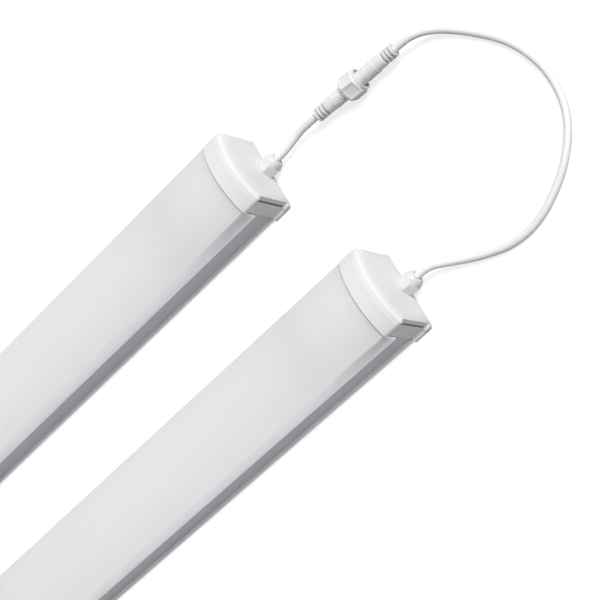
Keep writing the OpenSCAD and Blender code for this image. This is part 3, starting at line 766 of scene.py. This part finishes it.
# %% [markdown]
# Curve to Mesh turns its profile by 180 degrees where the path runs along +X: the profile's X
# becomes -Y and its Y becomes -Z. So both coordinates are written with the opposite sign.
# %% Extrude the diffuser
DIFFUSER_HALF = 277
extrude_tree, ins, out = new_tree("extrude_section", From="point", To="point", Finish="finish")
shape = add(extrude_tree, "GeometryNodeMeshToCurve", {"Mesh": ins["Geometry"]})
line = add(extrude_tree, "GeometryNodeCurvePrimitiveLine",
           {"Start": ins["From"], "End": ins["To"]})
body = add(extrude_tree, "GeometryNodeCurveToMesh",
           {"Curve": line.outputs[0], "Profile Curve": shape.outputs[0], "Fill Caps": True})
send_out(extrude_tree, body.outputs[0], ins["Finish"], out)

for side in SIDES:
    loop = mesh_from("section", [(-y * MM, -z * MM, 0) for y, z in section],
                     [(k, (k + 1) % len(section)) for k in range(len(section))])
    half = Vector((DIFFUSER_HALF * MM, 0, 0))
    values = {"From": HOME[side] - half, "To": HOME[side] + half, "Finish": opal_white[side]}
    dress(grow(f"{side}_diffuser_shell", extrude_tree, values, loop), f"{side}_diffuser")
print("diffuser length in mm:", 2 * DIFFUSER_HALF)

# %% [markdown]
# ## Wiring
# Inside run three wires from end to end, the driver's leads, and the cores of the link cord. A
# wire in a fixture lies straight and turns in short bends, so each is given by its corners, and
# the tree's Fillet Curve rounds them. The corners are in mm from the middle of the fixture. The
# holes of a terminal block are 8 mm apart.
# %% Routes of the wires
PITCH, HOLE_Z, DRIVER_Z, BUNDLE_Y = 8, 10.7, 11.7, 31.7


def mirrored(points):
    """A path that goes on as its own mirror image from end to end."""
    return points + [(-x, y, z) for x, y, z in reversed(points)]


THROUGH_RUNS = [mirrored([(-249, PITCH * k, HOLE_Z), (-234, PITCH * k, HOLE_Z),
                          (-209, BUNDLE_Y + step, z)])
                for k, step, z in ((0, -2.8, 10.15), (1, -0.5, 11.07), (2, 1.8, 10.73))]
SUPPLY_RUNS = [[(249, PITCH * k, HOLE_Z), (234, PITCH * k, HOLE_Z),
                (112, PITCH * (k + 1), DRIVER_Z), (100.1, PITCH * (k + 1), DRIVER_Z)]
               for k in (-2, -1)]
BOARD_RUNS = [[(-100.1, y, DRIVER_Z), (-106, y, 12.2), (-111, y, 15.7), (-112, y, 20.7),
               (-112, y, 26.6), (-112.8, y, 28.9), (-115, y, 29.5), (-119, y, 29.3)]
              for y in (-2, 2)]
SHEATH_RUN = [(286, 0, 11), (315, 0, 11)]
CORE_RUNS = [[(288, 1.3 * k, z), (285, 1.3 * k, z), (268, 7.2 * k, HOLE_Z),
              (265, PITCH * k, HOLE_Z), (259, PITCH * k, HOLE_Z)]
             for k, z in ((-1, 10.1), (0, 12.4), (1, 10.1))]
RUNS = THROUGH_RUNS + SUPPLY_RUNS + BOARD_RUNS + CORE_RUNS
print("wires and cores:", len(SIDES) * len(RUNS))

# %% [markdown]
# The through wires are black and the driver's leads red. The three cores of the cord have the
# usual colours, brown, blue and green, and come out of the stripped end of its sheath.
# %% Wires, leads and cores
WIRE, WIRE_SIDES = 2.2 * MM, 12
CORE_COLOURS = {"brown": (0.13, 0.05, 0.02), "blue": (0.02, 0.09, 0.36),
                "green": (0.05, 0.24, 0.04)}
core_finish = [moulded("core_" + name, colour) for name, colour in CORE_COLOURS.items()]


def wires(side, name, runs, finish, bend):
    """Wires along runs in mm from the middle of a fixture, as one piece."""
    paths = [[HOME[side] + Vector(p) * MM for p in run] for run in runs]
    return sweep(f"{side}_{name}", paths, WIRE, finish, WIRE_SIDES, bend * MM)


for side in SIDES:
    dress(wires(side, "wires", THROUGH_RUNS, wire_black, 4), f"{side}_through_wires")
    dress(wires(side, "leads", SUPPLY_RUNS + BOARD_RUNS, lead_red, 1.5), f"{side}_driver_leads")
    sheath_path = [HOME[side] + Vector(p) * MM for p in SHEATH_RUN]
    sheath = sweep(f"{side}_tail_sheath", [sheath_path], CORD, sheath_white)
    dress(sheath, f"{side}_link_tail")
    for run, finish in zip(CORE_RUNS, core_finish):
        dress(wires(side, finish.name, [run], finish, 2), f"{side}_link_tail")
print("core finishes:", [finish.name for finish in core_finish])

# %% [markdown]
# ## What repeats
# LEDs stand in two rows, screws in pairs. An Array modifier repeats along one line, so two would
# be needed for each. `rows_tree` copies its start mesh along one step and then along a second
# one, so the same tree sets thirty-two LEDs or four screws.
# %% A tree for rows
rows_tree, ins, out = new_tree("rows", Across="count", Step="point", Along="count",
                               Stride="point", Finish="finish")


def copies(tree, shape, count, step):
    line = add(tree, "GeometryNodeMeshLine", {"Count": count, "Offset": step}, mode="OFFSET")
    return add(tree, "GeometryNodeInstanceOnPoints",
               {"Points": line.outputs[0], "Instance": shape}).outputs[0]


row = copies(rows_tree, ins["Geometry"], ins["Across"], ins["Step"])
real_row = add(rows_tree, "GeometryNodeRealizeInstances", {"Geometry": row}).outputs[0]
grid = copies(rows_tree, real_row, ins["Along"], ins["Stride"])
send_out(rows_tree, grid, ins["Finish"], out)


def in_rows(name, start, across_by, step, along_by, stride, finish):
    """Copies of a start mesh: across_by of them at each step, and along_by rows of those."""
    values = {"Across": across_by, "Step": Vector(step) * MM, "Along": along_by,
              "Stride": Vector(stride) * MM, "Finish": finish}
    return grow(name, rows_tree, values, start)


print("inputs of rows:", [item.name for item in rows_tree.interface.items_tree])

# %% [markdown]
# An LED package is a white tray with a window of yellow phosphor. Both are stacks of rectangles:
# the tray goes up outside and down again inside, and the window is a low cushion in it. A
# rectangle is given by its half width, its half depth and its height in mm.
# %% LEDs
TRAY = [(1.75, 1.4, 0), (1.75, 1.4, 0.6), (1.66, 1.31, 0.8), (1.42, 1.07, 0.8),
        (1.3, 0.95, 0.5)]
WINDOW = [(1.28, 0.93, 0.4), (1.32, 0.97, 0.6), (1.1, 0.75, 0.7), (0.6, 0.4, 0.74)]
FIRST_LED = Vector((-225, -16, 28.1))
LED_ROWS, ROW_STEP, LEDS_IN_ROW, LED_STEP = 2, (0, 32, 0), 16, (30, 0, 0)


def stack(name, place_at, rings):
    """Joins rectangles about a place, closed at both ends."""
    points = [(place_at[0] + i * w, place_at[1] + j * d, place_at[2] + z) for w, d, z in rings
              for i, j in ((-1, -1), (1, -1), (1, 1), (-1, 1))]
    faces = [(3, 2, 1, 0), tuple(4 * len(rings) - 4 + k for k in range(4))]
    faces += [(4 * r + k, 4 * r + (k + 1) % 4, 4 * r + 4 + (k + 1) % 4, 4 * r + 4 + k)
              for r in range(len(rings) - 1) for k in range(4)]
    return mesh_from(name, [Vector(p) * MM for p in points], faces=faces)


for side in SIDES:
    first = HOME[side] / MM + FIRST_LED
    for part, rings, finish, slot in (("trays", TRAY, board_white, "board"),
                                      ("windows", WINDOW, phosphor_yellow, "phosphor")):
        leds = in_rows(f"{side}_led_{part}", stack(part, first, rings), LED_ROWS, ROW_STEP,
                       LEDS_IN_ROW, LED_STEP, finish)
        dress(leds, f"{side}_leds")
print("LEDs a side:", LED_ROWS * LEDS_IN_ROW)

# %% [markdown]
# Down each side of a cap runs a narrow slot between sleeve and cover. It is nearly black, as a
# deep gap in shade is. Nothing in the CAD's slot is dark, so a thin black strip stands there as
# painted shade. A darker paint on the cap would not have its depth.
# %% Dark strips of painted shade in the caps' slots
STRIP_X, HALF_WIDE, INNER_Y, OUTER_Y, LOW_END, HIGH_END = 293, 0.9, 32.85, 35.4, 5.6, 45.9
strip_y, half_deep = (OUTER_Y + INNER_Y) / 2, (OUTER_Y - INNER_Y) / 2
STRIP = [(HALF_WIDE, half_deep, LOW_END), (HALF_WIDE, half_deep, HIGH_END)]
for side in SIDES:
    for end, d in ENDS.items():
        strips = [stack("strip", HOME[side] / MM + Vector((d * STRIP_X, s * strip_y, 0)), STRIP)
                  for s in (-1, 1)]
        # painted shade: a black strip that stands for the shade deep in the slot
        shade_strip = place(f"{side}_{end}_slot_seal", merged("strips", strips))
        shade_strip.data.materials.append(black_slot_shade)
        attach(shade_strip, "fixture_pair")
print("strips:", 2 * len(SIDES) * len(ENDS))

# %% [markdown]
# The screws are turned, so each is a profile of radius and height spun about its axis. The cross
# or the slot in its head is cut out with flat knives before the screw is copied. The cap screws
# have pan heads with a cross, and the clamp screws of the terminal blocks a plain slot.
# %% Make the screws
PAN = [(0, -14), (1.1, -14), (1.45, -13.2), (1.45, 0), (2.3, 0), (2.55, 0.25), (2.6, 0.6),
       (2.5, 1.2), (2.1, 1.75), (1.4, 2.08), (0.7, 2.19), (0, 2.2)]
PAN_CROSS, PAN_FLOOR = [(1.5, 0.28), (0.28, 1.5)], 0.9
CLAMP = [(0, 0), (1.75, 0), (1.8, 0.1), (1.8, 0.9), (1.65, 1.1), (0, 1.1)]
CLAMP_SLOT, CLAMP_FLOOR = [(2.5, 0.25)], 0.5
ABOVE_HEAD = 3


def spun(name, profile, sides=32):
    """Spins a profile of radius and height about X. It starts and ends on the axis."""
    middle = profile[1:-1]
    points = [(profile[0][1], 0, 0), (profile[-1][1], 0, 0)]
    for r, x in middle:
        points += round_x(r, x, sides)
    faces, last = [], 2 + (len(middle) - 1) * sides
    for k in range(sides):
        j = (k + 1) % sides
        faces += [(0, 2 + k, 2 + j), (1, last + j, last + k)]
        for low in range(2, last, sides):
            high = low + sides
            faces.append((low + k, high + k, high + j, low + j))
    return mesh_from(name, [Vector(p) * MM for p in points], faces=faces)


def recessed(mesh, bars, floor):
    """Cuts bars, each given by half length and half width, into a head down to floor."""
    return carve(mesh, [block("knife", (floor, ABOVE_HEAD), (-a, a), (-b, b)) for a, b in bars])


pan_screw = recessed(spun("pan", PAN), PAN_CROSS, PAN_FLOOR)
clamp_screw = recessed(spun("clamp", CLAMP), CLAMP_SLOT, CLAMP_FLOOR)
clamp_screw.transform(Matrix.Rotation(-math.pi / 2, 4, "Y"))
print("faces of a cap screw:", len(pan_screw.polygons))

# %% [markdown]
# Four cap screws hold each sleeve to the ports in the profile. A terminal block has five poles,
# each with a clamp screw for the wire that comes in and one for the wire that goes out.
# %% Set the screws
SCREW_X, SCREW_Y, SCREW_Z, SCREW_RISE = 280.5, 31.7, 6.5, 15.5
CLAMP_X, CLAMP_Y, CLAMP_Z = {"link": 248, "far": -260}, -2 * PITCH, 14
POLES, CLAMP_GAP = 5, 12


def shifted(mesh, offset, flip=False):
    """A copy moved by offset in mm, turned half round about Z first if it looks the other way."""
    copy = mesh.copy()
    turn = Matrix.Rotation(math.pi if flip else 0, 4, "Z")
    copy.transform(Matrix.Translation(Vector(offset) * MM) @ turn)
    return copy


for side in SIDES:
    home = HOME[side] / MM
    pans = merged("pan", [shifted(pan_screw, home + Vector((d * SCREW_X, -SCREW_Y, SCREW_Z)), d < 0)
                          for d in ENDS.values()])
    screws = in_rows(f"{side}_pan_screws", pans, 2, (0, 2 * SCREW_Y, 0), 2, (0, 0, SCREW_RISE),
                     zinc)
    dress(screws, f"{side}_cap_screws")
    for end, x in CLAMP_X.items():
        start = shifted(clamp_screw, home + Vector((x, CLAMP_Y, CLAMP_Z)))
        clamps = in_rows(f"{side}_{end}_clamps", start, POLES, (0, PITCH, 0), 2,
                         (CLAMP_GAP, 0, 0), zinc)
        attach(clamps, "fixture_pair")
print("screws a side:", len(ENDS) * (4 + 2 * POLES))

# %% [markdown]
# ## Pieces whose CAD shape is right
# Boards, seals, gaskets and contacts are plain in real life too. They keep their CAD mesh and
# only get the finish of the real material.
# %% Finishes on the CAD pieces
PLAIN = {"led_board": board_white, "link_gasket": gasket_grey, "far_gasket": gasket_grey,
         "link_gland_body": gland_white, "far_gland_body": gland_white,
         "link_gland_seal": seal_grey, "far_gland_seal": seal_grey}
finish_of = {f"{side}_{part}": finish for side in SIDES for part, finish in PLAIN.items()}
finish_of.update(plug_pins=brass, socket_contacts=brass, connector_seal=seal_grey)
for node, finish in finish_of.items():
    for slot in frame["nodes"][node].material_slots:
        slot.material = finish
print("CAD pieces finished:", len(finish_of))

# %% [markdown]
# ## The studio
# The photo has a white ground with hardly a shadow. A plain white floor would throw so much light
# back that the near sides of the fixtures would not be as dim as in the photo. So the camera
# sees a white floor, while other rays meet a darker one. `seen_ray` tells the two apart.
# %% Floor
FLOOR_HALF, FLOOR_Z = 4, -0.2 * MM
SEEN_GREY, SEEN_GLOW, UNSEEN_GREY = 0.5, 0.72, 0.22
WHITE = (1, 1, 1, 1)


def seen_ray(tree):
    """1 for what the camera sees straight, in a gloss or through glass, else 0."""
    path = add(tree, "ShaderNodeLightPath").outputs
    seen = maths(tree, "MAXIMUM", path["Is Camera Ray"], path["Is Glossy Ray"])
    return maths(tree, "MAXIMUM", seen, path["Is Transmission Ray"])


def diffuse(tree, grey):
    return add(tree, "ShaderNodeBsdfDiffuse", {"Color": (grey, grey, grey, 1)}).outputs[0]


floor_finish = bpy.data.materials.new("studio_floor")
floor_finish.use_nodes = True
tree = floor_finish.node_tree
tree.nodes.clear()
lit = add(tree, "ShaderNodeEmission", {"Color": WHITE, "Strength": SEEN_GLOW})
bright = add(tree, "ShaderNodeAddShader", {0: diffuse(tree, SEEN_GREY), 1: lit.outputs[0]})
both = add(tree, "ShaderNodeMixShader", {0: seen_ray(tree), 1: diffuse(tree, UNSEEN_GREY),
                                         2: bright.outputs[0]})
add(tree, "ShaderNodeOutputMaterial", {"Surface": both.outputs[0]})
corners = [(i * FLOOR_HALF, j * FLOOR_HALF, FLOOR_Z)
           for i, j in ((-1, -1), (1, -1), (1, 1), (-1, 1))]
floor = place("floor", mesh_from("floor", corners, faces=[(0, 1, 2, 3)]))
floor.data.materials.append(floor_finish)
print("floor in m:", [round(v, 1) for v in floor.dimensions])

# %% [markdown]
# Light comes from above and from the far side, and the near side is dim. A wide sun gives that
# key light with soft shadows. The world fills the rest, weakly for the object and in white for
# the camera. The Standard view shows white as white, where Blender's usual one makes it grey.
# %% World and key light
WORLD_FILL = 0.27
KEY_LEVEL, KEY_WIDTH, KEY_FROM = 0.92, math.radians(36), Vector((0.8, 0.16, 1.0))

world = bpy.data.worlds.new("studio")
bpy.context.scene.world = world
world.use_nodes = True
tree = world.node_tree
tree.nodes.clear()
level = add(tree, "ShaderNodeMapRange", {"Value": seen_ray(tree), "To Min": WORLD_FILL,
                                         "To Max": 1.0})
sky = add(tree, "ShaderNodeBackground", {"Color": WHITE, "Strength": level.outputs[0]})
add(tree, "ShaderNodeOutputWorld", {"Surface": sky.outputs[0]})

lamp_data = bpy.data.lights.new("key", "SUN")
lamp_data.angle = KEY_WIDTH
lamp_data.energy = KEY_LEVEL * math.pi
lamp = bpy.data.objects.new("key", lamp_data)
bpy.context.collection.objects.link(lamp)
lamp_turn = (-KEY_FROM).to_track_quat("-Z", "Y")
lamp.matrix_world = Matrix.LocRotScale(KEY_FROM, lamp_turn, None)
bpy.context.scene.view_settings.view_transform = "Standard"
print("key light:", KEY_LEVEL, "of a white surface facing it")
